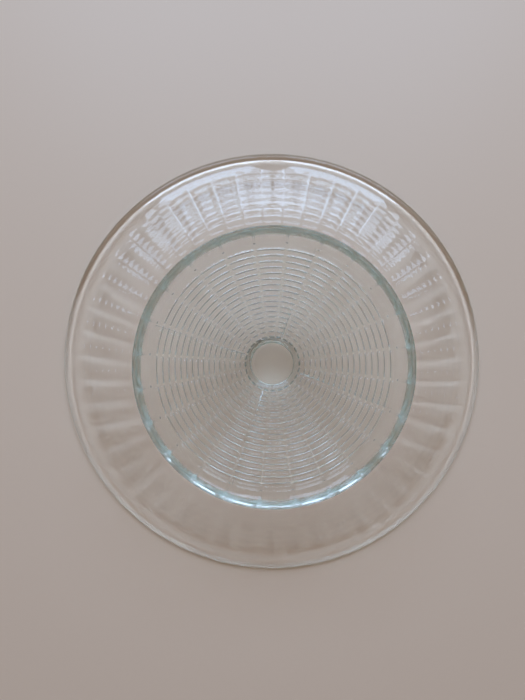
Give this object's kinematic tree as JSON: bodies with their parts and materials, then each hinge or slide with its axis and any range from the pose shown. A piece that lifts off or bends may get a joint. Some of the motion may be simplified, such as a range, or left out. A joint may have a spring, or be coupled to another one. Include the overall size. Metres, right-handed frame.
{
  "type": "cake stand",
  "caption": "Low pressed-glass cake plate lying upside down: a dished round plate on a wide, hollow, conical foot with a short solid neck and a flat resting ring.",
  "frame": {"origin": "centre of the plate's rim circle, on the surface that the upturned plate lies on", "axes": "+Z along the axis of revolution, from the plate's rim up to the resting ring of the foot; the round shape has no front, so +X and +Y are free"},
  "size_m": [0.3, 0.3, 0.082],
  "materials": {
    "clear_glass": "clear pressed soda-lime glass, faintly green where it is thick"
  },
  "bodies": {
    "root": {"plate": "clear_glass", "foot": "clear_glass"}
  },
  "joints": []
}
